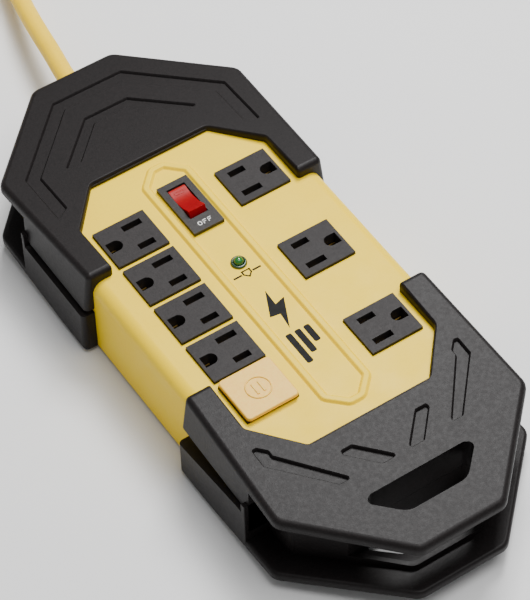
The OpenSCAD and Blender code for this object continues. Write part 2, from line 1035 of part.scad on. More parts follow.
top_cover();
base_plate();
far_cap_upper();
far_cap_lower();
near_cap_upper();
near_cap_lower();
outlet_left(0);  // outlet_left_1
outlet_left(1);  // outlet_left_2
outlet_left(2);  // outlet_left_3
outlet_left(3);  // outlet_left_4
outlet_left(4);  // outlet_left_5
outlet_right(0);  // outlet_right_1
outlet_right(1);  // outlet_right_2
outlet_right(2);  // outlet_right_3
safety_cover();
breaker_housing();
switch_rocker();
rocker_lamp();
breaker_terminals();
lamp_ring();
lamp_dome();
surge_board();
varistors();
thermal_fuse();
filter_coil();
filter_capacitor();
line_bar(left_ys);  // left_line_bar
neutral_bar(left_ys);  // left_neutral_bar
ground_bar(left_ys);  // left_ground_bar
rotate([0, 0, 180]) line_bar(turned(right_ys));  // right_line_bar
rotate([0, 0, 180]) neutral_bar(turned(right_ys));  // right_neutral_bar
rotate([0, 0, 180]) ground_bar(turned(right_ys));  // right_ground_bar
line_lead();
neutral_lead();
ground_lead();
ground_screw();
base_screws();
cap_screws();
rubber_feet();
strain_relief();
cord();
cord_coil();
cord_tail();
cord_tie();
plug_body();
plug_line_blade();
plug_neutral_blade();
plug_ground_pin();
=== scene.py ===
"""The looks of the surge strip: its materials, detailed pieces, cord, light and camera.

Shapes are worked out in millimetres, in the part's own frame, and scaled to metres when a
mesh is made.
"""

import math

import bmesh
import bpy
from mathutils import Matrix, Vector


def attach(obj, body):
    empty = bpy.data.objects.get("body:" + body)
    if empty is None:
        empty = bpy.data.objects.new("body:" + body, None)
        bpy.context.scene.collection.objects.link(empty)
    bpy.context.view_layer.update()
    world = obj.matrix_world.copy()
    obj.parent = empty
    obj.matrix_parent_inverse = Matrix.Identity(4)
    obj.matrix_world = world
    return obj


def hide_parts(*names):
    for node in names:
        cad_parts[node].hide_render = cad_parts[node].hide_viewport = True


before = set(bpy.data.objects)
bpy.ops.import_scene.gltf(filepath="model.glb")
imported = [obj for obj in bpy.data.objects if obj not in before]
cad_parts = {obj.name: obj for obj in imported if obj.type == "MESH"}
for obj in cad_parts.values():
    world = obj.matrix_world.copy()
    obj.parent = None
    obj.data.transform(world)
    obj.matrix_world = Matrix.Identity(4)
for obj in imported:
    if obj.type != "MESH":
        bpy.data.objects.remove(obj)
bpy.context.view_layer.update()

MM = 0.001
STRIP = "strip"
ROCKER = "switch_rocker"
COVER = "safety_cover"

# Housing
HOUSE_HALF_W = 59.5
HOUSE_HALF_L = 88.0
SHEET_LOW = 2.0
SHEET_Z = 44.5
SHEET_T = 1.5
EDGE_R = 6.0
BEAD_Y = 1.5
FACE_Z = 46.0
PITCH = 25.4
COLUMN_X = 32.0
LEFT_YS = [2 * PITCH, PITCH, 0, -PITCH, -2 * PITCH]
RIGHT_YS = [2 * PITCH, 0, -2 * PITCH]

# End caps, described at the cord end
CAP_HALF_W = 64.0
CAP_NOSE = 154.5
SHOULDER_Y = 111.1
NOSE_HALF_W = 21.4
ARM_END = 38.6
ARM_INNER = 48.6
CAP_TOP = 50.5
TOP_FALL = 7.0 / (CAP_NOSE - ARM_END)
LOWER_OUT = 2.0
LOWER_SLIDE = 0.8
NOSE_START = 88.2
CHANNEL_START = 90.7
RISE_FROM = 60.0
NOSE_RISE = 7.5
SPLIT_Z = 28.4
SKIRT_H = 4.7
SKIRT_T = 2.2
FLANGE_T = 5.5
CHANNEL = 10.0
GRIP_START = 124.5
GRIP_Z = 34.0
LIP_Z = 16.0
LIP_T = 2.0
CAP_SCREWS = [(42, 98), (14, 108), (-14, 108), (-42, 98)]

# Switch and lamp
ROCKER_Y = 54.8
PIVOT_Z = SHEET_Z - 0.9
LAMP_Y = 13.2
INK_H = 0.08

# How far cutters reach, well past every piece of the strip
WIDE = 80
BEYOND = 180
UNDER = -5
OVER = 60

# Cord
CORD_D = 9.2
EXIT = (4, 156.4, 23)
ROUTE = [
    (4.4, 166, 22.9), (5.5, 175, 22.5), (8.1, 189, 21), (12.1, 212.5, 18), (17.2, 235.3, 14),
    (23, 258, 10), (29, 280, 7.2), (34.8, 303, 6), (40.3, 326, 5.8), (45.4, 347, 5.8),
    (50.1, 365.4, 5.8),
]
TAIL = [
    (52, 381, 33.4), (51.6, 394.6, 33.3), (49.6, 408.7, 32.6), (45.7, 423.3, 29.4),
    (39, 438.2, 25), (28.5, 452, 20.8), (14.1, 462.8, 17), (0, 468.6, 14.4),
    (-9.4, 470.6, 13.5), (-16, 471, 13.4),
]
COIL_CENTRE = Vector((-12.5, 381, 1.2))
COIL_R = 53.0
COIL_LAYERS = 4
COIL_START = math.radians(-14)
COIL_TURNS = 10 + 14 / 360

# Plug; the prongs of the outlet's cover stand as its blades do
PLUG_AT = Vector(TAIL[-1])
BLADE_OFFSET = 6.35
GROUND_Z = 8.2


# ---- mesh helpers ----


def mesh_object(name, bm, body=STRIP):
    """Makes an object in metres from a bmesh in millimetres and lets it ride on a body."""
    bmesh.ops.recalc_face_normals(bm, faces=bm.faces)
    bmesh.ops.scale(bm, vec=(MM, MM, MM), verts=bm.verts)
    mesh = bpy.data.meshes.new(name)
    bm.to_mesh(mesh)
    bm.free()
    obj = bpy.data.objects.new(name, mesh)
    bpy.context.scene.collection.objects.link(obj)
    if body:
        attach(obj, body)
    return obj


def loft(rings, capped=True, closed=False):
    """A bmesh skinned over rings of points that all have the same number of points."""
    bm = bmesh.new()
    rows = [[bm.verts.new(p) for p in ring] for ring in rings]
    count = len(rows[0])
    pairs = list(zip(rows, rows[1:]))
    if closed:
        pairs.append((rows[-1], rows[0]))
    for low, high in pairs:
        for i in range(count):
            j = (i + 1) % count
            bm.faces.new((low[i], low[j], high[j], high[i]))
    if capped and not closed:
        bm.faces.new(rows[0][::-1])
        bm.faces.new(rows[-1])
    return bm


def outline(corners, radii, inset=0.0, shares=None, steps=6):
    """A closed counter-clockwise outline, inset, with each corner rounded by its own radius.

    shares scales the inset of each edge, the edge that starts at the corner of that index.
    """
    count = len(corners)
    lines = []
    for i in range(count):
        a, b = Vector(corners[i]), Vector(corners[(i + 1) % count])
        along = (b - a).normalized()
        inward = Vector((-along.y, along.x))
        lines.append((a + inward * inset * (shares[i] if shares else 1), along))
    points = []
    for i in range(count):
        (p, d), (q, e) = lines[i - 1], lines[i]
        cross = d.x * e.y - d.y * e.x
        corner = p + d * ((q.x - p.x) * e.y - (q.y - p.y) * e.x) / cross
        radius = max(radii[i] - inset, 0.3) if cross > 0 else radii[i] + inset
        turn = math.atan2(cross, d.dot(e))
        back = radius * math.tan(abs(turn) / 2)
        side = Vector((-d.y, d.x)) * math.copysign(radius, turn)
        centre = corner - d * back + side
        for k in range(steps + 1):
            points.append(centre + Matrix.Rotation(turn * k / steps, 2) @ -side)
    return points


def quarter_round(radius, steps):
    """Pairs of inset and drop up a rounded edge, from its foot to its crown."""
    pairs = []
    for k in range(steps + 1):
        t = math.pi / 2 * k / steps
        pairs.append((radius * (1 - math.cos(t)), radius * (1 - math.sin(t))))
    return pairs


def mirrored(points):
    """The same outline on the other side of x = 0, still counter-clockwise."""
    return [(-x, y) for x, y in reversed(points)]


def both_sides(points):
    """An outline's +X side, drawn from low y to high y, completed by its mirror image."""
    return [*points, *mirrored(points)]


def prism(points, low, high):
    """A bmesh from z = low to z = high, each a height or a function of y."""
    at = [h if callable(h) else (lambda y, h=h: h) for h in (low, high)]
    return loft([[(p[0], p[1], h(p[1])) for p in points] for h in at])


def box(x0, x1, y0, y1, z0, z1):
    """A block, whose two heights may be functions of y as well."""
    return prism([(x0, y0), (x1, y0), (x1, y1), (x0, y1)], z0, z1)


def side_prism(points, half_w):
    """A bmesh whose outline is given in the Y-Z plane, across X."""
    return loft([[(x, y, z) for y, z in points] for x in (-half_w, half_w)])


def lathe(profile, steps=48, axis="Z", closed=False):
    """A bmesh turned round an axis from (radius, height) pairs, a closed loop or capped."""
    turn = {"Z": Matrix.Identity(3), "Y": Matrix.Rotation(math.radians(-90), 3, "X")}[axis]
    rings = []
    for radius, height in profile:
        ring = []
        for k in range(steps):
            a = 2 * math.pi * k / steps
            ring.append(turn @ Vector((radius * math.cos(a), radius * math.sin(a), height)))
        rings.append(ring)
    return loft(rings, closed=closed)


def swung(bm, angle, axis):
    """The same bmesh turned about an axis through the origin by an angle in degrees."""
    turn = Matrix.Rotation(math.radians(angle), 3, axis)
    bmesh.ops.rotate(bm, cent=(0, 0, 0), matrix=turn, verts=bm.verts)
    return bm


def moved(bm, shift=(0, 0, 0), turn=0.0):
    """The same bmesh turned about Z by an angle in degrees, then shifted."""
    swung(bm, turn, "Z")
    bmesh.ops.translate(bm, vec=shift, verts=bm.verts)
    return bm


def joined(parts):
    """One bmesh that holds all the given ones, which are used up."""
    whole = bmesh.new()
    for part in parts:
        bmesh.ops.recalc_face_normals(part, faces=part.faces)
        mesh = bpy.data.meshes.new("part")
        part.to_mesh(mesh)
        part.free()
        whole.from_mesh(mesh)
        bpy.data.meshes.remove(mesh)
    return whole


def bake(obj):
    """Replaces an object's mesh by what its modifiers make of it."""
    graph = bpy.context.evaluated_depsgraph_get()
    mesh = bpy.data.meshes.new_from_object(obj.evaluated_get(graph))
    obj.modifiers.clear()
    old = obj.data
    obj.data = mesh
    bpy.data.meshes.remove(old)
    return obj


def combine(obj, operation, *pieces):
    """Runs one boolean operation with each piece in turn."""
    tools = [mesh_object("tool", piece, body=None) for piece in pieces]
    for tool in tools:
        step = obj.modifiers.new("step", "BOOLEAN")
        step.operation = operation
        step.solver = "MANIFOLD"
        step.object = tool
    bake(obj)
    for tool in tools:
        bpy.data.objects.remove(tool)
    return obj


def cut(obj, *pieces):
    """Takes the pieces away from an object."""
    return combine(obj, "DIFFERENCE", *pieces)


def add(obj, *pieces):
    """Joins the pieces to an object."""
    return combine(obj, "UNION", *pieces)


def shade_smooth(obj):
    obj.data.polygons.foreach_set("use_smooth", [True] * len(obj.data.polygons))
    return obj


def soften(obj, width, segments=2):
    """Rounds an object's sharp edges by a width in millimetres and shades it cleanly."""
    bevel = obj.modifiers.new("bevel", "BEVEL")
    bevel.width = width * MM
    bevel.segments = segments
    bevel.limit_method = "ANGLE"
    bevel.angle_limit = math.radians(32)
    shade_smooth(obj)
    normals = obj.modifiers.new("normals", "WEIGHTED_NORMAL")
    normals.keep_sharp = True
    return obj


def stands_for(obj, slot, *nodes):
    """Hides the CAD nodes that an object replaces. The slot is not used."""
    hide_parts(*nodes)
    return obj


def paint(obj, material):
    """Makes a material the object's only one."""
    obj.data.materials.clear()
    obj.data.materials.append(material)
    return obj


# ---- materials ----


def grade(value):
    """A colour from 0-255 sRGB numbers, as the linear values that a shader takes."""
    linear = [(c / 255 / 12.92) if c <= 10 else ((c / 255 + 0.055) / 1.055) ** 2.4 for c in value]
    return (*linear, 1)


class Shader:
    """A procedural surface: a Principled shader with nodes added one by one."""

    def __init__(self, name, colour, roughness, metallic=0.0, **sockets):
        self.material = bpy.data.materials.new(name)
        self.material.use_nodes = True
        self.nodes = self.material.node_tree.nodes
        self.links = self.material.node_tree.links
        self.surface = self.nodes["Principled BSDF"]
        self.surface.inputs["Base Color"].default_value = grade(colour)
        self.surface.inputs["Roughness"].default_value = roughness
        self.surface.inputs["Metallic"].default_value = metallic
        for key, value in sockets.items():
            self.surface.inputs[key.replace("_", " ")].default_value = value
        self.place = self.nodes.new("ShaderNodeTexCoord").outputs["Object"]
        self.height = None

    def noise(self, size, detail=3.0, stretch=(1, 1, 1)):
        """Noise whose features are about size millimetres across."""
        mapping = self.nodes.new("ShaderNodeMapping")
        mapping.inputs["Scale"].default_value = [s / (size * MM) for s in stretch]
        self.links.new(self.place, mapping.inputs["Vector"])
        noise = self.nodes.new("ShaderNodeTexNoise")
        noise.inputs["Scale"].default_value = 1.0
        noise.inputs["Detail"].default_value = detail
        self.links.new(mapping.outputs["Vector"], noise.inputs["Vector"])
        return noise.outputs["Fac"]

    def spread(self, source, low, high, start=0.3, end=0.7):
        """The source's start-end range spread over low-high."""
        node = self.nodes.new("ShaderNodeMapRange")
        ends = {"From Min": start, "From Max": end, "To Min": low, "To Max": high}
        for key, value in ends.items():
            node.inputs[key].default_value = value
        self.links.new(source, node.inputs["Value"])
        return node.outputs["Result"]

    def tint(self, source, colour, start, end, amount):
        """Mixes some of another colour in as the source goes from start to end."""
        mix = self.nodes.new("ShaderNodeMix")
        mix.data_type = "RGBA"
        socket = self.surface.inputs["Base Color"]
        if socket.links:
            self.links.new(socket.links[0].from_socket, mix.inputs["A"])
        else:
            mix.inputs["A"].default_value = socket.default_value
        mix.inputs["B"].default_value = grade(colour)
        self.links.new(self.spread(source, 0, amount, start, end), mix.inputs["Factor"])
        self.links.new(mix.outputs["Result"], socket)
        return self

    def gloss(self, source, low, high):
        """Lets the roughness wander between two values."""
        self.links.new(self.spread(source, low, high), self.surface.inputs["Roughness"])
        return self

    def bump(self, source, depth):
        """Raises the surface by depth millimetres where the source is high."""
        node = self.nodes.new("ShaderNodeBump")
        node.inputs["Distance"].default_value = depth * MM
        self.links.new(source, node.inputs["Height"])
        if self.height:
            self.links.new(self.height, node.inputs["Normal"])
        self.height = node.outputs["Normal"]
        self.links.new(self.height, self.surface.inputs["Normal"])
        return self

    def along(self, axis):
        """The place along one axis, in metres."""
        split = self.nodes.new("ShaderNodeSeparateXYZ")
        self.links.new(self.place, split.inputs["Vector"])
        return split.outputs[axis]


def moulded(name, colour, light, dark, roughness, grain, depth, **sockets):
    """Moulded plastic: spark-eroded grain with a fine speckle and slightly uneven gloss."""
    s = Shader(name, colour, roughness, **sockets)
    s.tint(s.noise(grain * 1.3, 2), light, 0.45, 0.75, 0.6)
    s.tint(s.noise(grain * 1.9, 2), dark, 0.45, 0.75, 0.6)
    s.gloss(s.noise(grain * 3, 2), roughness - 0.03, roughness + 0.03)
    s.bump(s.noise(grain, 2), depth)
    return s.material


def enamel(name, colour, light, dark):
    """Powder coat on steel: soft orange peel, a little mottling and dust."""
    s = Shader(name, colour, 0.4, Specular_IOR_Level=0.2)
    s.tint(s.noise(45, 3), light, 0.35, 0.75, 0.5)
    s.tint(s.noise(1.1, 2), dark, 0.5, 0.85, 0.25)
    s.gloss(s.noise(14, 3), 0.36, 0.48)
    s.bump(s.noise(1.6, 2), 0.03)
    return s.material


def soft_jacket(name, colour, light, dark, roughness=0.5):
    """Flexible vinyl: satin, with slow thickness ripples and scuffs."""
    s = Shader(name, colour, roughness, Specular_IOR_Level=0.3)
    s.tint(s.noise(16, 3), light, 0.4, 0.8, 0.5)
    s.tint(s.noise(2.4, 4), dark, 0.55, 0.8, 0.35)
    s.gloss(s.noise(5, 3), roughness - 0.08, roughness + 0.12)
    s.bump(s.noise(6, 2), 0.08)
    s.bump(s.noise(0.7, 2), 0.02)
    return s.material


def metal(name, colour, dark, roughness, stretch=(1, 8, 8)):
    """Plated or rolled metal with fine directional lines and dull patches."""
    s = Shader(name, colour, roughness, metallic=1.0)
    s.tint(s.noise(3, 3), dark, 0.45, 0.8, 0.6)
    s.gloss(s.noise(1.5, 3, stretch), roughness - 0.08, roughness + 0.14)
    s.bump(s.noise(0.8, 2, stretch), 0.01)
    return s.material


def rocker_red():
    """Translucent red moulding whose far half is painted lighter and made to glow: partly the lamp
    inside, partly a painted highlight.
    """
    s = Shader(
        "rocker_red", (136, 2, 12), 0.34, Specular_IOR_Level=0.1,
        Subsurface_Weight=0.15, Subsurface_Scale=0.002,
    )
    highlight_ramp = s.along("Y")
    # Painted highlight: the far half is tinted a lighter red, rising along Y.
    s.tint(highlight_ramp, (150, 16, 14), (ROCKER_Y - 1.5) * MM, (ROCKER_Y + 7) * MM, 0.9)
    s.tint(s.noise(1.2, 2), (96, 0, 10), 0.5, 0.8, 0.25)
    s.gloss(s.noise(3, 2), 0.3, 0.38)
    s.bump(s.noise(0.9, 2), 0.008)
    # Pink emission over the far half: partly the lamp inside, partly a painted highlight.
    glow_and_highlight = s.spread(highlight_ramp, 0.0, 0.06, (ROCKER_Y - 1) * MM, (ROCKER_Y + 8) * MM)
    s.surface.inputs["Emission Color"].default_value = grade((255, 96, 70))
    s.links.new(glow_and_highlight, s.surface.inputs["Emission Strength"])
    return s.material


def woven(name, colour, light):
    """Narrow woven strap."""
    s = Shader(name, colour, 0.85, Sheen_Weight=0.4, Sheen_Roughness=0.5)
    weave = s.nodes.new("ShaderNodeTexWave")
    weave.inputs["Scale"].default_value = 380
    weave.inputs["Distortion"].default_value = 1.5
    s.links.new(s.place, weave.inputs["Vector"])
    s.tint(weave.outputs["Fac"], light, 0.3, 0.8, 0.5)
    s.tint(s.noise(0.6, 3), light, 0.5, 0.8, 0.4)
    s.bump(weave.outputs["Fac"], 0.12)
    return s.material


def circuit_board():
    """Green solder mask over copper tracks."""
    s = Shader("board_green", (38, 98, 54), 0.35, Coat_Weight=0.5)
    tracks = s.nodes.new("ShaderNodeTexBrick")
    tracks.inputs["Scale"].default_value = 120
    tracks.inputs["Mortar Size"].default_value = 0.12
    s.links.new(s.place, tracks.inputs["Vector"])
    s.tint(tracks.outputs["Fac"], (96, 150, 70), 0.2, 0.8, 0.6)
    s.bump(tracks.outputs["Fac"], 0.05)
    s.gloss(s.noise(4), 0.3, 0.42)
    return s.material


YELLOW = enamel("yellow_enamel", (246, 207, 11), (247, 212, 30), (226, 187, 6))
BLACK = moulded(
    "black_abs", (26, 23, 23), (35, 31, 31), (15, 13, 13), 0.44, 0.6, 0.05,
    Specular_IOR_Level=0.15,
)
OUTLET = moulded(
    "outlet_grey", (40, 37, 37), (50, 46, 46), (26, 24, 24), 0.5, 0.6, 0.06,
    Specular_IOR_Level=0.16,
)
CREAM = moulded(
    "cover_cream", (244, 194, 76), (245, 203, 92), (238, 182, 62), 0.4, 0.9, 0.02,
    Subsurface_Weight=0.1, Subsurface_Scale=0.002, Specular_IOR_Level=0.3,
)
BREAKER = moulded(
    "breaker_black", (40, 37, 35), (50, 46, 44), (26, 24, 23), 0.36, 0.6, 0.03,
    Specular_IOR_Level=0.2,
)
RED = rocker_red()
GLOW = moulded(
    "lamp_glow", (255, 168, 120), (255, 200, 150), (240, 120, 80), 0.15, 1.0, 0.01,
    Transmission_Weight=0.5,
)
GREEN = moulded(
    "lamp_green", (30, 100, 38), (46, 124, 52), (16, 70, 26), 0.12, 1.4, 0.01,
    Coat_Weight=0.4, Subsurface_Weight=0.2, Subsurface_Scale=0.002,
)
RING = moulded(
    "lamp_ring_green", (20, 52, 32), (34, 74, 46), (10, 30, 18), 0.28, 0.8, 0.02,
    Coat_Weight=0.3,
)
BRASS = metal("bare_brass", (205, 166, 86), (150, 112, 52), 0.3)
TINNED = metal("tinned_metal", (206, 202, 192), (150, 146, 136), 0.35)
STEEL_ZINC = metal("screw_steel", (196, 196, 192), (140, 142, 146), 0.28)
BOARD = circuit_board()
BLUE = moulded("varistor_blue", (44, 92, 172), (70, 120, 196), (26, 60, 120), 0.3, 1.2, 0.03)
CERAMIC = moulded(
    "ceramic_white", (214, 208, 194), (228, 224, 214), (186, 178, 160), 0.4, 0.7, 0.02
)
COPPER = metal("copper_wire", (190, 104, 52), (128, 62, 30), 0.3, (6, 6, 6))
AMBER = moulded(
    "capacitor_yellow", (214, 162, 44), (226, 180, 70), (176, 126, 28), 0.35, 0.8, 0.02
)
LEAD_BLACK = soft_jacket("lead_black", (28, 28, 28), (44, 44, 44), (16, 16, 16))
LEAD_WHITE = soft_jacket("lead_white", (232, 232, 230), (242, 242, 240), (206, 204, 198))
LEAD_GREEN = soft_jacket("lead_green", (40, 132, 56), (60, 152, 76), (24, 96, 38))
SCREW_GREEN = metal("screw_green", (70, 168, 88), (40, 112, 56), 0.34)
RUBBER = soft_jacket("foot_rubber", (36, 36, 36), (50, 50, 50), (22, 22, 22), 0.75)
CORD = soft_jacket("cord_yellow", (243, 200, 20), (246, 207, 40), (222, 178, 12), 0.46)
RELIEF = soft_jacket("relief_yellow", (226, 184, 16), (234, 194, 34), (200, 158, 10), 0.5)
PLUG = soft_jacket("plug_yellow", (232, 192, 18), (240, 202, 40), (206, 166, 10), 0.48)
STRAP = woven("tie_black", (30, 30, 31), (58, 58, 60))
INK = moulded(
    "ink_black", (9, 8, 8), (14, 13, 13), (5, 5, 5), 0.6, 0.8, 0.01, Specular_IOR_Level=0.15
)
INK_WHITE = moulded(
    "ink_white", (214, 214, 210), (226, 226, 224), (190, 190, 186), 0.5, 0.8, 0.01
)
LABEL = moulded(
    "label_silver", (198, 200, 202), (204, 206, 208), (188, 190, 192), 0.38, 0.5, 0.01
)


# ---- camera ----


def set_camera():
    """A long lens on the hand-hold's left, looking down the strip towards the cord."""
    data = bpy.data.cameras.new("camera")
    camera = bpy.data.objects.new("camera", data)
    bpy.context.scene.collection.objects.link(camera)
    data.sensor_width = 36.0
    data.lens = 178.25
    data.clip_start = 0.05
    data.clip_end = 20
    camera.location = (-0.4319, -0.6940, 1.0440)
    axis = Vector((2.368, -0.724, 0.229))
    to_view = Matrix.Rotation(axis.length, 3, axis.normalized())
    camera.rotation_mode = "QUATERNION"
    flip = Matrix.Diagonal((1, -1, -1))
    camera.rotation_quaternion = (flip @ to_view).transposed().to_quaternion()
    bpy.context.scene.camera = camera


set_camera()


# ---- supply cord ----


def smoothed(points, spacing):
    """Points every few millimetres along a curve that runs through the given ones."""
    points = [Vector(p) for p in points]
    padded = [2 * points[0] - points[1], *points, 2 * points[-1] - points[-2]]
    fine = []
    for a, b, c, d in zip(padded, padded[1:], padded[2:], padded[3:]):
        count = max(1, round((c - b).length / spacing))
        for k in range(count):
            t = k / count
            square = (2 * a - 5 * b + 4 * c - d) * t**2
            cube = (3 * b - a - 3 * c + d) * t**3
            fine.append(0.5 * (2 * b + (c - a) * t + square + cube))
    return [*fine, points[-1]]


def coil_point(turns):
    """The cord's centre after some turns: in and out again, one layer on the other."""
    per_layer = COIL_TURNS / COIL_LAYERS
    layer, part = divmod(turns, per_layer)
    outer = COIL_R + CORD_D * per_layer / 2
    inner = COIL_R - CORD_D * per_layer / 2
    radius = outer - CORD_D * part if layer % 2 == 0 else inner + CORD_D * part
    climb = 0.0
    for k in range(1, COIL_LAYERS):
        t = min(max((turns - k * per_layer) / 0.24 + 0.5, 0), 1)
        climb += t * t * (3 - 2 * t)
    angle = COIL_START + turns * 2 * math.pi
    height = CORD_D / 2 + climb * CORD_D
    return COIL_CENTRE + Vector((radius * math.cos(angle), radius * math.sin(angle), height))


def cord_path():
    """The cord's whole centre line, from inside its strain relief to the plug's neck."""
    per_turn = 40
    count = round(COIL_TURNS * per_turn)
    lead_in = smoothed([(EXIT[0], 155, EXIT[2]), *ROUTE], 6)
    coil = [coil_point(COIL_TURNS * k / count) for k in range(1, count)]
    return [*lead_in, *coil, *smoothed(TAIL, 6)]


def tube(points, radius, steps=20):
    """A round bmesh that follows points without twisting."""
    rings = []
    up = Vector((0, 0, 1))
    for before, p, after in zip([points[0], *points], points, [*points[1:], points[-1]]):
        along = (after - before).normalized()
        up = (up - along * up.dot(along)).normalized()
        side = along.cross(up)
        ring = []
        for k in range(steps):
            a = 2 * math.pi * k / steps
            ring.append(p + (up * math.cos(a) + side * math.sin(a)) * radius)
        rings.append(ring)
    return loft(rings)


def make_cord(points):
    """The cord's jacket along its centre line."""
    obj = mesh_object("supply_cord", tube(points, CORD_D / 2))
    shade_smooth(paint(obj, CORD))
    return stands_for(obj, "cord_yellow", "cord", "cord_coil", "cord_tail")


def make_strain_relief():
    """A flexible sleeve: a collar against the cap, then a taper cut by ring grooves."""
    neck = CAP_NOSE - CHANNEL
    profile = [(0.5, neck - 5), (7.6, neck - 5), (7.8, neck - 4.6), (7.8, neck - 2.8)]
    profile += [(6.3, neck - 2.6), (6.3, neck + 0.3), (7.3, neck + 0.3), (7.6, neck + 0.7)]
    profile += [(7.6, neck + 1.9), (7.2, neck + 2.3)]
    grooves = 4
    start, end = neck + 2.8, 156.0
    for k in range(grooves):
        y = start + (end - start) * k / grooves
        step = (end - start) / grooves
        radius = 6.9 - 1.3 * (k + 0.5) / grooves
        profile += [
            (radius - 0.75, y), (radius - 0.75, y + 0.25 * step), (radius - 0.15, y + 0.36 * step),
            (radius, y + 0.48 * step), (radius, y + 0.86 * step), (radius - 0.15, y + 0.97 * step),
        ]
    profile += [(5.2, end), (5.0, end + 0.4), (4.3, end + 0.4)]
    at = (EXIT[0], 0, EXIT[2])
    obj = mesh_object("strain_relief_sleeve", moved(lathe(profile, 40, "Y"), at))
    soften(paint(obj, RELIEF), 0.12)
    return stands_for(obj, "relief_yellow", "strain_relief")


def plug_place(bm):
    """Puts a piece drawn along -Y from the plug's neck where the plug lies."""
    return moved(bm, PLUG_AT, -90)


def superellipse(half_w, half_h, power, steps=56):
    """Points round an ellipse for a power of 2, and round squarer shapes for more."""
    points = []
    for k in range(steps):
        t = 2 * math.pi * k / steps
        c, s = math.cos(t), math.sin(t)
        x = half_w * math.copysign(abs(c) ** (2 / power), c)
        y = half_h * math.copysign(abs(s) ** (2 / power), s)
        points.append((x, y))
    return points


def make_plug_body():
    """A moulded plug: ribbed neck, waisted grip and a flat face."""
    rings = []
    ribs = 5
    for k in range(ribs):
        y = -0.2 - 20 * k / ribs
        radius = 5.5 + 2.2 * k / ribs
        rings += [(y, radius - 0.8, radius - 0.8, 2), (y - 1.2, radius - 0.8, radius - 0.8, 2)]
        rings += [(y - 1.7, radius, radius, 2), (y - 3.6, radius + 0.3, radius + 0.3, 2)]
    rings += [(-21, 8.2, 8.2, 2.2), (-25, 9.8, 9.6, 2.6), (-30, 11.6, 11.2, 3.2)]
    rings += [(-36, 12.2, 11.9, 4), (-40, 12.0, 11.8, 4.6), (-46, 12.3, 12.0, 5)]
    rings += [(-51, 12.9, 12.3, 5.4), (-54.6, 13.1, 12.4, 5.6)]
    rings += [(-55.6, 12.8, 12.1, 5.6), (-56, 12.2, 11.5, 5.6)]
    skin = []
    for y, half_w, half_h, power in rings:
        drop = 0.5 if power > 2.1 else 0
        shape = superellipse(half_w, half_h, power)
        skin.append([(x, y, z - drop) for x, z in shape])
    obj = mesh_object("plug_moulding", plug_place(loft(skin)))
    grips = []
    for side in (-1, 1):
        for k in range(4):
            y = -33 - 4 * k
            x = sorted((side * 11.4, side * 20))
            grips.append(plug_place(box(x[0], x[1], y - 0.8, y + 0.8, -7, 6)))
    slots = []
    for x in (-BLADE_OFFSET, BLADE_OFFSET):
        slots.append(plug_place(box(x - 1, x + 1, -60, -48, -3.6, 3.6)))
    pin = moved(lathe([(2.5, -60), (2.5, -48)], 32, "Y"), (0, 0, GROUND_Z))
    cut(obj, *grips, *slots, plug_place(pin))
    soften(paint(obj, PLUG), 0.25)
    return stands_for(obj, "plug_yellow", "plug_body")


def make_blade(name, x, width, node):
    """A folded brass blade with a chamfered tip and its hole."""
    half = width / 2
    tip = -73.3
    side = [(-49, -half), (-49, half), (tip + 1.6, half), (tip, half - 1.6)]
    side += [(tip, 1.6 - half), (tip + 1.6, -half)]
    obj = mesh_object(name, plug_place(moved(side_prism(side, 0.72), (x, 0, 0))))
    hole = lathe([(1.5, -4), (1.5, 4)], 24)
    swung(hole, 90, "Y")
    cut(obj, plug_place(moved(hole, (x, tip + 4.5, 0))))
    soften(paint(obj, BRASS), 0.25)
    return stands_for(obj, "bare_brass", node)


def make_ground_pin():
    """A round pin with a domed tip."""
    radius, straight = 2.38, -71
    profile = [(radius, -49), (radius, straight)]
    for t in (0.3, 0.6, 0.9, 1.2, 1.45):
        profile.append((radius * math.cos(t), straight - radius * math.sin(t)))
    pin = moved(lathe(profile, 32, "Y"), (0, 0, GROUND_Z))
    obj = mesh_object("plug_ground_rod", plug_place(pin))
    soften(paint(obj, BRASS), 0.15)
    return stands_for(obj, "bare_brass", "plug_ground_pin")


def make_tie():
    """A strap round the coil's bundle of turns, with its buckle and a loose end."""
    turn = 200
    first = (math.radians(turn) - COIL_START) / (2 * math.pi)
    strands = [coil_point(first + k) - COIL_CENTRE for k in range(int(COIL_TURNS))]
    radii = [math.hypot(p.x, p.y) for p in strands]
    middle = (max(radii) + min(radii)) / 2
    half = (max(radii) - min(radii)) / 2 + CORD_D / 2 + 0.15
    height = COIL_LAYERS * CORD_D
    corners = [(-half, -0.2), (half, -0.2), (half, height + 0.2), (-half, height + 0.2)]

    def band(inset, edge):
        return [(p.x, edge, p.y) for p in outline(corners, [4.4] * 4, inset, steps=8)]

    rings = [band(-0.75, -3.6), band(-0.75, 3.6), band(-0.6, 3.9)]
    rings += [band(0.0, 3.9), band(0.0, -3.9), band(-0.6, -3.9)]
    buckle = box(half - 0.2, half + 0.95, -4.6, 4.6, height * 0.5 - 4, height * 0.5 + 4)
    end = box(half + 0.1, half + 0.98, -3.4, 3.4, height * 0.5 + 3, height * 0.5 + 14)
    whole = joined([loft(rings, closed=True), buckle, end])
    at = Matrix.Rotation(math.radians(turn), 3, "Z") @ Vector((middle, 0, 0)) + COIL_CENTRE
    obj = mesh_object("coil_strap", moved(whole, at, turn))
    soften(paint(obj, STRAP), 0.12)
    return stands_for(obj, "tie_black", "cord_tie")


route = cord_path()
cord = make_cord(route)
make_strain_relief()
on_cord = [
    make_plug_body(),
    make_blade("plug_blade_hot", -BLADE_OFFSET, 6.3, "plug_line_blade"),
    make_blade("plug_blade_neutral", BLADE_OFFSET, 6.7, "plug_neutral_blade"),
    make_ground_pin(),
    make_tie(),
]


# ---- housing ----


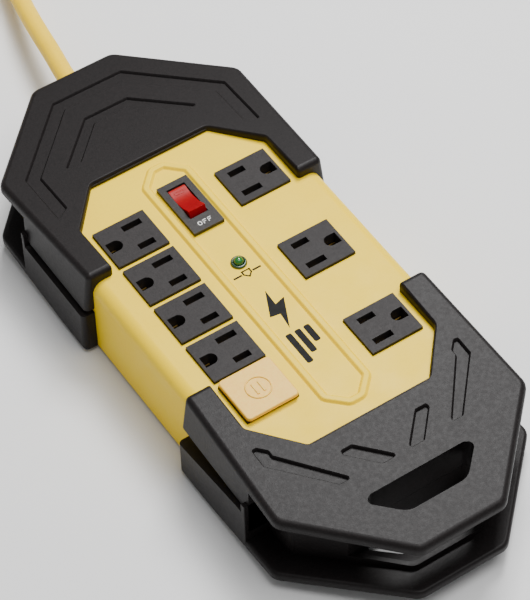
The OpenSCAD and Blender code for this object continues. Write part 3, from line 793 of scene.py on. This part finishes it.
def make_top_cover():
    """The folded steel cover and its holes."""

    def section(inset, drop):
        w, r = HOUSE_HALF_W - inset, EDGE_R - inset
        low, high = SHEET_LOW - drop, SHEET_Z - inset
        return outline([(-w, low), (w, low), (w, high), (-w, high)], [0.5, 0.5, r, r])

    def run(inset, drop, half_l):
        return loft([[(p.x, y, p.y) for p in section(inset, drop)] for y in (half_l, -half_l)])

    obj = mesh_object("steel_cover", run(0, 0, HOUSE_HALF_L))
    low = 30
    holes = []
    for column, ys in ((-COLUMN_X, LEFT_YS), (COLUMN_X, RIGHT_YS)):
        for y in ys:
            holes.append(box(column - 13.2, column + 13.2, y - 11.5, y + 11.5, low, OVER))
    breaker_hole = box(-6.9, 6.9, 38, 66.6, low, OVER)
    lamp_hole = moved(lathe([(2.9, low), (2.9, OVER)], 32), (0, LAMP_Y, 0))
    notches = [box(-WIDE, WIDE, y - 6, y + 6, -1, 4.3) for y in (-84, 84)]
    holes += [breaker_hole, lamp_hole, *notches]
    cut(obj, run(SHEET_T, 8, HOUSE_HALF_L - SHEET_T), *holes)
    soften(paint(obj, YELLOW), 0.3)
    return stands_for(obj, "yellow_enamel", "top_cover")


def long_octagon(half_w, half_l, corner):
    """A counter-clockwise octagon with 45-degree corners."""
    return [
        (half_w, corner - half_l), (half_w, half_l - corner), (half_w - corner, half_l),
        (corner - half_w, half_l), (-half_w, half_l - corner), (-half_w, corner - half_l),
        (corner - half_w, -half_l), (half_w - corner, -half_l),
    ]


def make_bead():
    """A flat-topped ridge with soft sides that follows a long octagon."""
    width, height, side, steps = 4.6, 1.35, 0.3, 20
    rings = []
    for k in range(steps + 1):
        s = k / steps
        t = min(s, 1 - s, side) / side
        rise = height * t * t * (3 - 2 * t) - 0.03
        path = outline(long_octagon(13.2, 80.7, 9.2), [5] * 8, width * s)
        rings.append([(p.x, p.y + BEAD_Y, SHEET_Z + rise) for p in path])
    obj = shade_smooth(mesh_object("cover_bead", loft(rings, capped=False)))
    paint(obj, YELLOW)
    return obj


make_top_cover()
make_bead()


# ---- end caps ----


def top_at(y):
    """The upper shell's sloping top."""
    return CAP_TOP - (y - ARM_END) * TOP_FALL


def base_at(y):
    """The lower shell's underside: level, then rising to the nose."""
    return 1.5 + max(0, y - RISE_FROM) * NOSE_RISE / (CAP_NOSE + LOWER_OUT - RISE_FROM)


def cap_side(out, slide, start=ARM_END):
    """The cap's +X side from y = start to its nose, moved out, its corners sliding along."""
    x = CAP_HALF_W + out
    return [(x, start), (x, SHOULDER_Y + slide), (NOSE_HALF_W + slide, CAP_NOSE + out)]


# The upper shell leaves a window between its arms, and its edge is rounded less there
WINDOW = [(-ARM_INNER, 65.5), (-30.5, 86.6), (30.5, 86.6), (ARM_INNER, 65.5)]
UPPER = [(ARM_INNER, ARM_END), *both_sides(cap_side(0, 0)), (-ARM_INNER, ARM_END), *WINDOW]
UPPER_R = [1.5, 2.5, 7, 7, 7, 7, 2.5, 1.5, 3, 3, 3, 3]
UPPER_SHARE = [1] * 7 + [0.45] * 5
LOWER = both_sides(cap_side(LOWER_OUT, LOWER_SLIDE))


def nose(inset, start):
    """The nose's octagon from y = start onwards, moved in by some millimetres."""
    side = cap_side(-inset, -inset * math.tan(math.radians(22.5)), start)
    return outline(both_sides(side), [1, 6, 6, 6, 6, 1])


def side_lean(obj):
    """Draws the arms' tops in a little towards their ends, as a mould's draft does."""
    lean, length, low, height, inner_x = 2.4, 70, 31, 17, 58
    for v in obj.data.vertices:
        x, y, z = (c / MM for c in v.co)
        along = min(max((abs(y) - ARM_END) / length, 0), 1)
        up = min(max((z - low) / height, 0), 1)
        if abs(x) > inner_x:
            v.co.x -= math.copysign(lean * (1 - along) * up, x) * MM
    return obj


def turned(pieces, near):
    """Cutters for the near cap are the far cap's turned half round."""
    return [moved(piece, turn=180) for piece in pieces] if near else list(pieces)


def housing_room(low):
    """The housing's room in a cap, with 0.2 mm of play."""
    w, high, r = HOUSE_HALF_W + 0.2, SHEET_Z + 0.2, EDGE_R + 0.2
    section = outline([(-w, low), (w, low), (w, high), (-w, high)], [0.5, 0.5, r, r])
    return loft([[(p.x, y, p.y) for p in section] for y in (NOSE_START, -NOSE_START)])


def arm_gap(end_z, inner_z, open_z):
    """What a shell loses at its arms, from open_z to an edge from end_z in to inner_z."""
    side = [(20, open_z), (20, end_z), (ARM_END, end_z)]
    side += [(85, inner_z), (NOSE_START, inner_z), (NOSE_START, open_z)]
    return side_prism(side, WIDE)


def make_upper_shell(near, end_z, inner_z, marks):
    """The cap's upper shell: sloping plate, skirt over the cord channel, core and arms."""
    low = 15
    rings = [[(p.x, p.y, low) for p in outline(UPPER, UPPER_R)]]
    for inset, drop in quarter_round(2.8, 6):
        path = outline(UPPER, UPPER_R, inset, UPPER_SHARE)
        rings.append([(p.x, p.y, top_at(p.y) - drop) for p in path])
    name = "near_cap_top" if near else "far_cap_top"
    obj = mesh_object(name, moved(loft(rings), turn=180 if near else 0))
    below = box(-WIDE, WIDE, CHANNEL_START, BEYOND, UNDER, lambda y: top_at(y) - SKIRT_H)
    inside = prism(nose(SKIRT_T, CHANNEL_START), UNDER, lambda y: top_at(y) - 3)
    cut(obj, *turned([below, inside], near))
    core = prism(nose(CHANNEL, NOSE_START - 2), SPLIT_Z + 0.1, lambda y: top_at(y) - 1.5)
    add(obj, *turned([core], near))
    gap = arm_gap(end_z, inner_z, UNDER)
    cut(obj, *turned([housing_room(UNDER), gap, *marks], near))
    side_lean(obj)
    soften(paint(obj, BLACK), 0.35)
    return stands_for(obj, "black_abs", name.replace("_top", "_upper"))


def lower_ring(inset, rise):
    """The lower shell's outline at a height above its underside, with points at its bend."""
    path = outline(LOWER, [2.5, 7, 7, 7, 7, 2.5], inset)
    ring = []
    for a, b in zip(path, [*path[1:], path[0]]):
        ring.append(a)
        if (a.y - RISE_FROM) * (b.y - RISE_FROM) < 0:
            ring.append(a + (b - a) * (RISE_FROM - a.y) / (b.y - a.y))
    return [(p.x, p.y, base_at(p.y) + rise) for p in ring]


def make_lower_shell(near, end_z, inner_z, holes):
    """The cap's lower shell: a flange under the channel, the core's foot and the arms."""
    edge = quarter_round(1.8, 4)
    rings = [lower_ring(drop, inset) for inset, drop in edge]
    rings += [lower_ring(inset, FLANGE_T - drop) for inset, drop in edge]
    flange = loft(rings)
    for height in (base_at(RISE_FROM), base_at(RISE_FROM) + FLANGE_T):
        bend = Vector((RISE_FROM, height))
        verts = [v for v in flange.verts if (v.co.yz - bend).length < 0.01]
        bmesh.ops.connect_verts(flange, verts=verts)
    name = "near_cap_foot" if near else "far_cap_foot"
    obj = mesh_object(name, moved(flange, turn=180 if near else 0))
    core = prism(nose(CHANNEL, NOSE_START - 8), lambda y: base_at(y) + 1, SPLIT_Z)
    arms = []
    for side in (-1, 1):
        out = CAP_HALF_W + LOWER_OUT
        corners = [(50, ARM_END), (out, ARM_END), (out, CHANNEL_START), (50, CHANNEL_START)]
        radii = [0.5, 2.5, 0.5, 0.5]
        if side < 0:
            corners = mirrored(corners)
            radii.reverse()
        arms.append(prism(outline(corners, radii), lambda y: base_at(y) + 2, 34))
    add(obj, *turned([core, *arms], near))
    gap = arm_gap(end_z, inner_z, OVER)
    room = box(-59.7, 59.7, 0, 78.2, UNDER, OVER)
    wells = []
    for x, y in CAP_SCREWS:
        wells.append(moved(lathe([(3.6, UNDER), (3.6, base_at(y) + 2.5)], 32), (x, y, 0)))
    cut(obj, *turned([housing_room(4.1), room, gap, *wells, *holes], near))
    soften(paint(obj, BLACK), 0.35)
    return stands_for(obj, "black_abs", name.replace("_foot", "_lower"))


def mark(points, depth, radius):
    """A shallow recess in the sloping top, with drafted walls and a floor that slopes too."""
    rings = []
    for inset, rise in ((0.5, -depth), (0.15, -0.45), (-0.5, 0.2), (-0.5, 12)):
        shape = outline(points, [radius] * len(points), inset, steps=4)
        rings.append([(p.x, p.y, top_at(p.y) + rise) for p in shape])
    return loft(rings)


def band_marks():
    """The far cap's two stepped bands, each between an outer and an inner line."""
    wide = both_sides([(53.2, 76.5), (53.2, 105.8), (18.2, 140.8)])
    wide += both_sides([(46.8, 80.5), (46.8, 103.1), (15.5, 134.4)])[::-1]
    narrow = both_sides([(35, 101), (11.3, 124)])
    narrow += both_sides([(27, 101), (9, 118.8)])[::-1]
    return [mark(wide, 1.2, 0.6), mark(narrow, 1.2, 0.6)]


def slot_marks():
    """The near cap's four recessed slots: two round its corners, two between them."""
    corner = [(52.6, 76.8), (52.6, 86), (31.2, 110.2), (25.2, 110.2), (46.8, 83.6)]
    corner += [(46.8, 80.6), (50.4, 76.8)]
    middle = [(21.8, 97), (21.8, 99), (10.6, 111.4), (4, 111.4), (4, 110), (16.2, 97)]
    marks = []
    for shape in (corner, middle):
        marks.append(mark(shape, 1.6, 0.9))
        marks.append(mark(mirrored(shape), 1.6, 0.9))
    return marks


def hold():
    """The hand-hold, all the way through."""
    shape = both_sides([(23.5, 121), (28, 123.4), (15, 136.4)])
    return prism(outline(shape, [2, 2.5, 9, 9, 2.5, 2]), UNDER, OVER)


def under_grip():
    """The room under the grip bar: what the near cap's lower shell loses there."""
    front = CAP_NOSE - CHANNEL - LIP_T
    inner = outline(both_sides([(34, GRIP_START), (16.4, front)]), [0.5, 6, 6, 0.5])
    well = prism(inner, lambda y: base_at(y) + FLANGE_T, OVER)
    return [well, box(-WIDE, WIDE, GRIP_START, BEYOND, LIP_Z, OVER)]


def relief_hole():
    """The hole that the cord's strain relief sits in."""
    return moved(lathe([(6.7, 130), (6.7, 150)], 40, "Y"), (EXIT[0], 0, EXIT[2]))


def make_caps():
    """The far cap's arms are parted by a narrow slit, the near cap's by a wedge."""
    make_upper_shell(False, 28.5, 28.5, [*band_marks(), relief_hole()])
    make_lower_shell(False, 26, 26, [relief_hole()])
    room = box(-WIDE, WIDE, GRIP_START, BEYOND, UNDER, GRIP_Z)
    make_upper_shell(True, 32, 29.2, [*slot_marks(), hold(), room])
    make_lower_shell(True, 21.5, 28.3, [hold(), *under_grip()])


make_caps()


# ---- outlets, cover, breaker and lamp ----


def finish_node(name, material, bevel):
    """Gives a CAD piece its material and, where bevel isn't 0, rounds its edges."""
    obj = paint(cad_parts[name], material)
    if bevel:
        soften(obj, bevel)


def make_safety_cover():
    """A thin translucent plate with a raised ring, its prongs in the outlet below."""
    z = FACE_Z + 0.1
    thick = 1.8
    corners = [(-13, -12.2), (13, -12.2), (13, 12.2), (-13, 12.2)]
    rings = [[(p.x, p.y, z) for p in outline(corners, [2] * 4)]]
    for inset, drop in quarter_round(0.7, 4):
        path = outline(corners, [2] * 4, inset)
        rings.append([(p.x, p.y, z + thick - drop) for p in path])
    plate = loft(rings)
    profile = [(6, z + 1.7), (5.9, z + 2.15), (5.6, z + 2.3), (5.3, z + 2.15), (5.2, z + 1.7)]
    ring = lathe(profile, closed=True)
    bars = [box(x - 0.55, x + 0.55, -3, 3, z + 1.7, z + 2.2) for x in (-1.6, 1.6)]
    tip = 33
    prongs = [box(1.7, 6.9, y - 0.5, y + 0.5, tip, z + 0.1) for y in (-BLADE_OFFSET, BLADE_OFFSET)]
    pin = moved(lathe([(1.4, tip), (1.6, tip + 0.6), (1.6, z + 0.1)], 24), (-7.6, 0, 0))
    whole = moved(joined([plate, ring, *bars, *prongs, pin]), (-COLUMN_X, -2 * PITCH, 0))
    obj = mesh_object("outlet_shield", whole, COVER)
    soften(paint(obj, CREAM), 0.15)
    return stands_for(obj, "cover_cream", "safety_cover")


def rocker_profile():
    """The rocker from the side, level: two faces that meet in a shallow valley."""
    r = 9.6
    angles = [math.radians(a) for a in (-20, -12, 0, 12, 24.4)]
    half = [(r * math.cos(a), r * math.sin(a)) for a in angles]
    half += [(7.6, 3.86), (5.2, 3.0), (2.6, 2.42)]
    return [*half, (0, 2.3), *mirrored(half), (-3, -5.6), (3, -5.6)]


def make_rocker():
    """The rocker in its OFF place, with its axle and a raised frame on its far face."""
    key = side_prism(rocker_profile(), 4.3)
    low, slope = 5.2, 0.358
    corners = [(-2.6, low), (2.6, low), (2.6, low + 2), (-2.6, low + 2)]
    rings = []
    for inset, lift in ((0, -0.3), (0, 0.12), (0.55, 0.12), (0.55, -0.3)):
        path = outline(corners, [0.9] * 4, inset, steps=5)
        rings.append([(p.x, p.y, 3.0 + (p.y - low) * slope + lift) for p in path])
    axle = lathe([(1.4, -5.7), (1.5, -5.6), (1.5, 5.6), (1.4, 5.7)], 24)
    swung(axle, 90, "Y")
    whole = swung(joined([key, loft(rings, closed=True), axle]), -10, "X")
    obj = mesh_object("rocker_key", moved(whole, (0, ROCKER_Y, PIVOT_Z)), ROCKER)
    soften(paint(obj, RED), 0.3, 3)
    return stands_for(obj, "rocker_red", "switch_rocker")


def stroke(points, width, z, height):
    """A raised line of even width through points."""
    parts = []
    for a, b in zip(points, points[1:]):
        a, b = Vector(a), Vector(b)
        along = (b - a).normalized()
        side = Vector((-along.y, along.x)) * width / 2
        a, b = a - along * width / 2, b + along * width / 2
        parts.append(prism([a - side, b - side, b + side, a + side], z, z + height))
    return parts


def make_off_mark():
    """The word OFF in small raised strokes on the bezel."""
    top, low, z = 41.6, 39.2, SHEET_Z + 1.98
    width, height = 0.42, 0.1
    corners = [(-3.5, low), (-1.5, low), (-1.5, top), (-3.5, top)]
    rings = []
    for inset, at in ((0, z), (0, z + height), (width, z + height), (width, z)):
        rings.append([(p.x, p.y, at) for p in outline(corners, [0.9] * 4, inset, steps=4)])
    letters = [loft(rings, closed=True)]
    middle = (top + low) / 2
    for x in (-0.7, 1.8):
        letters += stroke([(x, low + 0.2), (x, top - 0.2)], width, z, height)
        letters += stroke([(x, top - 0.2), (x + 1.5, top - 0.2)], width, z, height)
        letters += stroke([(x, middle), (x + 1.1, middle)], width, z, height)
    obj = mesh_object("bezel_mark", joined(letters))
    return paint(obj, INK_WHITE)


def make_emblem():
    """A generic printed emblem: a bolt beside three bars, along the cover's middle."""
    z = SHEET_Z - 0.02
    bolt = [(-0.8, -20.8), (-1.8, -29.6), (5.6, -13.8), (0.4, -15.2), (0.8, -6.4), (-5.6, -20)]
    parts = [prism(bolt, z, z + INK_H)]
    for x, length in ((-4.6, 18), (0, 14), (4.6, 10)):
        low, high = -32 - length, -32
        corners = [(x - 1.5, low), (x + 1.5, low), (x + 1.5, high), (x - 1.5, high)]
        parts.append(prism(outline(corners, [0.9] * 4, steps=4), z, z + INK_H))
    obj = mesh_object("printed_emblem", joined(parts))
    return paint(obj, INK)


def make_lamp_icon():
    """A small printed shield under the lamp, with a dash to each side."""
    y, z = 6.4, SHEET_Z - 0.02
    shield = [(-1.9, y + 1.6), (1.9, y + 1.6), (1.9, y - 0.3), (0, y - 2.2), (-1.9, y - 0.3)]
    shield.append(shield[0])
    parts = stroke(shield, 0.7, z, INK_H)
    for side in (-1, 1):
        parts += stroke([(side * 3.2, y), (side * 6.6, y)], 0.9, z, INK_H)
    obj = mesh_object("printed_lamp_icon", joined(parts))
    return paint(obj, INK)


def make_lamp():
    """The lamp's ring, stepped, and its dome with a flat-ground crown."""
    z = SHEET_Z
    profile = [(2.4, 40), (2.7, 40), (2.7, z), (3.7, z), (3.7, z + 0.5), (3.4, z + 1.0)]
    profile += [(2.9, z + 1.15), (2.45, z + 0.9), (2.4, z + 0.3)]
    ring = mesh_object("lamp_collar", moved(lathe(profile, closed=True), (0, LAMP_Y, 0)))
    soften(paint(ring, RING), 0.12)
    stands_for(ring, "lamp_ring_green", "lamp_ring")
    radius = 2.25
    dome = [(radius, 40), (radius, z + 1)]
    for t in (0.25, 0.5, 0.75, 1.0, 1.25, 1.45):
        dome.append((radius * math.cos(t), z + 1 + radius * math.sin(t)))
    lens = mesh_object("lamp_lens", moved(lathe(dome), (0, LAMP_Y, 0)))
    soften(paint(lens, GREEN), 0.1)
    stands_for(lens, "lamp_green", "lamp_dome")


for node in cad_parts:
    if node.startswith("outlet_"):
        finish_node(node, OUTLET, 0.3)
make_safety_cover()
finish_node("breaker_housing", BREAKER, 0.4)
make_rocker()
make_off_mark()
make_emblem()
make_lamp_icon()
make_lamp()


# ---- underside ----


def screw(shank, head_r=3.2):
    """A pan-head screw standing on its head, with a cross recess and a threaded shank."""
    profile = [(0.3, 0), (head_r * 0.7, 0.05), (head_r * 0.95, 0.45)]
    profile += [(head_r, 0.9), (head_r, 1.7), (1.5, 1.8)]
    pitch = 0.9
    turns = int(shank / pitch)
    for k in range(turns):
        z = 1.9 + pitch * k
        profile += [(1.2, z), (1.5, z + 0.35), (1.2, z + 0.75)]
    profile += [(1.2, 1.9 + pitch * turns), (0.3, 2.6 + pitch * turns)]
    obj = mesh_object("tool_screw", lathe(profile, 24), body=None)
    cross = [box(-1.6, 1.6, -0.35, 0.35, -1, 0.9), box(-0.35, 0.35, -1.6, 1.6, -1, 0.9)]
    cut(obj, *cross)
    out = bmesh.new()
    out.from_mesh(obj.data)
    bmesh.ops.scale(out, vec=(1 / MM,) * 3, verts=out.verts)
    bpy.data.objects.remove(obj)
    return out


def make_screws():
    """The eight screws that hold the caps and the six that hold the base."""
    caps = [
        moved(screw(28), (x, s * y, base_at(y) + 0.6), 17 * k)
        for s in (-1, 1)
        for k, (x, y) in enumerate(CAP_SCREWS)
    ]
    obj = mesh_object("cap_screw_set", joined(caps))
    soften(paint(obj, STEEL_ZINC), 0.08)
    stands_for(obj, "screw_steel", "cap_screws")
    base = [
        moved(screw(9), (x, y, 0.6), 23 * i + 31 * k)
        for i, x in enumerate((-52, 52))
        for k, y in enumerate((-71, 0, 71))
    ]
    obj = mesh_object("base_screw_set", joined(base))
    soften(paint(obj, STEEL_ZINC), 0.08)
    stands_for(obj, "screw_steel", "base_screws")


def make_feet():
    """Push-in rubber feet with a hollow centre."""
    profile = [(1.6, 0.7), (2.6, 0.7), (3.2, 0.0), (5.2, 0.0), (5.9, 0.35), (6.5, 1.95)]
    profile += [(1.9, 1.96), (1.9, 4.6), (1.3, 5.4), (0.3, 5.4)]
    feet = [moved(lathe(profile, 40), (x, y, 0)) for x in (-43, 43) for y in (-64, 64)]
    obj = mesh_object("foot_set", joined(feet))
    soften(paint(obj, RUBBER), 0.15)
    stands_for(obj, "foot_rubber", "rubber_feet")


def make_label():
    """A blank rating plate stuck to the base."""
    shape = outline([(-24, -32), (24, -32), (24, 22), (-24, 22)], [3] * 4)
    obj = mesh_object("blank_label", prism(shape, 1.9, 2.02))
    return paint(obj, LABEL)


make_screws()
make_feet()
make_label()
finish_node("base_plate", YELLOW, 0.25)


# ---- inside ----

INSIDE = {
    "rocker_lamp": GLOW,
    "breaker_terminals": TINNED,
    "surge_board": BOARD,
    "varistors": BLUE,
    "thermal_fuse": CERAMIC,
    "filter_coil": COPPER,
    "filter_capacitor": AMBER,
    "line_lead": LEAD_BLACK,
    "neutral_lead": LEAD_WHITE,
    "ground_lead": LEAD_GREEN,
    "ground_screw": SCREW_GREEN,
}
for node, material in INSIDE.items():
    finish_node(node, material, 0)
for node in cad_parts:
    if node.endswith("_bar"):
        finish_node(node, BRASS, 0)


# ---- floor and light ----


def make_floor():
    """A plain pale floor, wide enough to fill every view."""
    bm = bmesh.new()
    bmesh.ops.create_grid(bm, x_segments=1, y_segments=1, size=4000)
    floor = mesh_object("floor", bm, body=None)
    s = Shader("studio_white", (230, 230, 230), 0.9)
    s.tint(s.noise(60, 2), (226, 226, 226), 0.3, 0.7, 0.3)
    paint(floor, s.material)


def area_light(name, place, target, size, watts):
    """A soft rectangular light at a place, in metres, turned to its target."""
    data = bpy.data.lights.new(name, "AREA")
    data.shape = "RECTANGLE"
    data.size, data.size_y = size
    data.energy = watts
    light = bpy.data.objects.new(name, data)
    light.location = place
    light.rotation_euler = (Vector(target) - Vector(place)).to_track_quat("-Z", "Y").to_euler()
    bpy.context.scene.collection.objects.link(light)


def set_light():
    """A dim tent, a large softbox overhead and a smaller key that the near cap mirrors."""
    world = bpy.data.worlds.new("studio")
    world.use_nodes = True
    background = world.node_tree.nodes["Background"]
    background.inputs["Color"].default_value = (1, 1, 1, 1)
    background.inputs["Strength"].default_value = 0.35
    bpy.context.scene.world = world
    area_light("softbox", (0.25, -0.35, 1.7), (0, 0, 0), (1.1, 1.1), 21)
    area_light("key", (0.47, 0.37, 1.08), (0, -0.1, 0), (0.45, 0.45), 19)


make_floor()
set_light()
